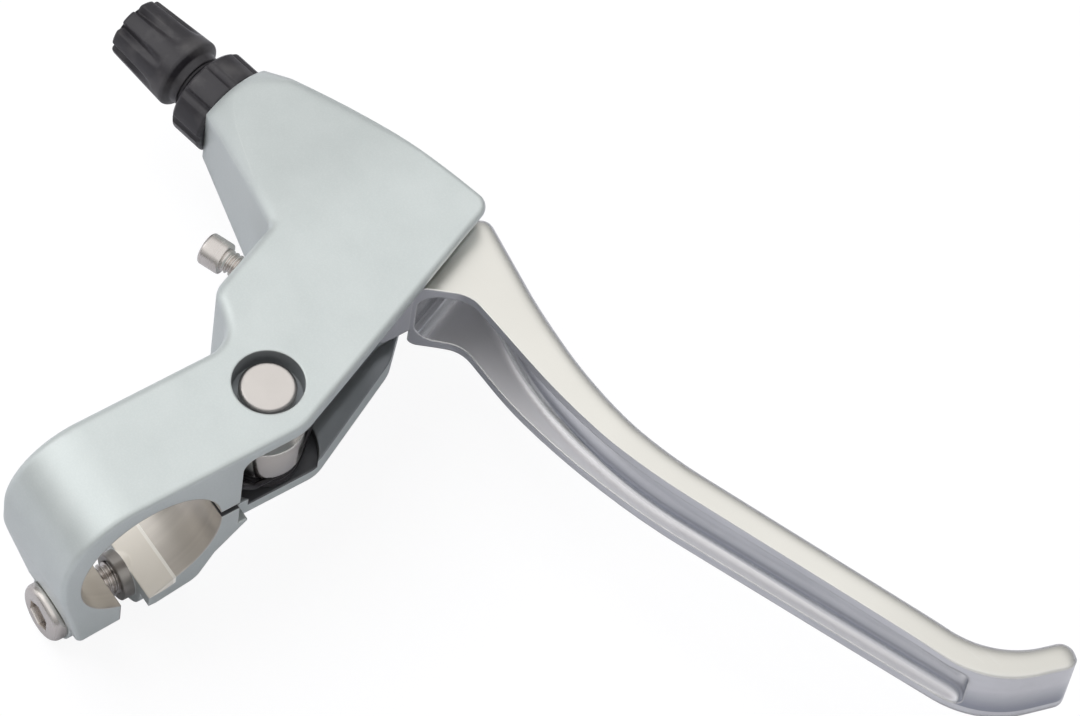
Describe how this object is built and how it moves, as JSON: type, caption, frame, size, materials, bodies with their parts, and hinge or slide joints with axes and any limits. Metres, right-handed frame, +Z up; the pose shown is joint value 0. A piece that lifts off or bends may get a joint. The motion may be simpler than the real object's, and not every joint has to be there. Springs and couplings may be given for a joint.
{
  "type": "bicycle brake lever",
  "caption": "Hand brake lever for a flat handlebar: a die-cast bracket with a bar clamp and barrel adjuster, and a forged channel-section blade on a sprung pivot.",
  "frame": {"origin": "centre of the handlebar bore", "axes": "+X along the handlebar towards the grip, +Y forwards away from the rider, +Z up along the lever's pivot"},
  "size_m": [0.1552, 0.1113, 0.0342],
  "materials": {
    "bracket_paint": "satin silver paint on a die casting, bare metal in the machined bore",
    "lever_aluminium": "polished and clear anodised",
    "steel": "plain stainless, fine turned",
    "spring_steel": "black oxide",
    "bush_bronze": "plain turned",
    "black_plastic": "moulded, slightly glossy"
  },
  "bodies": {
    "bracket": {"bracket_body": "bracket_paint", "pivot_pin": "steel", "pivot_clip": "spring_steel", "thrust_washer_upper": "black_plastic", "thrust_washer_lower": "black_plastic", "clamp_bolt": "steel", "return_spring": "spring_steel"},
    "lever": {"lever_blade": "lever_aluminium", "pivot_bush": "bush_bronze"},
    "reach_screw": {"reach_screw": "steel"},
    "adjuster_barrel": {"adjuster_barrel": "black_plastic"},
    "adjuster_lock_nut": {"adjuster_lock_nut": "black_plastic"}
  },
  "joints": [
    {"name": "lever_pivot", "type": "hinge", "parent": "bracket", "child": "lever", "pos_m": [0, 0.0229, 0], "axis": [0, 0, 1], "range_deg": [-36, 0], "stiffness_Nm_per_rad": 0.3, "springref_deg": 22.92, "deforming": ["return_spring"]},
    {"name": "reach_screw_turn", "type": "hinge", "parent": "bracket", "child": "reach_screw", "pos_m": [-0.0201, 0.0334, 0.005], "axis": [0.9239, 0.3827, 0], "continuous": true},
    {"name": "adjuster_turn", "type": "hinge", "parent": "bracket", "child": "adjuster_barrel", "pos_m": [-0.046, 0.0471, 0.001], "axis": [-0.9799, -0.1994, 0], "continuous": true},
    {"name": "lock_nut_turn", "type": "hinge", "parent": "bracket", "child": "adjuster_lock_nut", "pos_m": [-0.046, 0.0471, 0.001], "axis": [-0.9799, -0.1994, 0], "continuous": true}
  ]
}
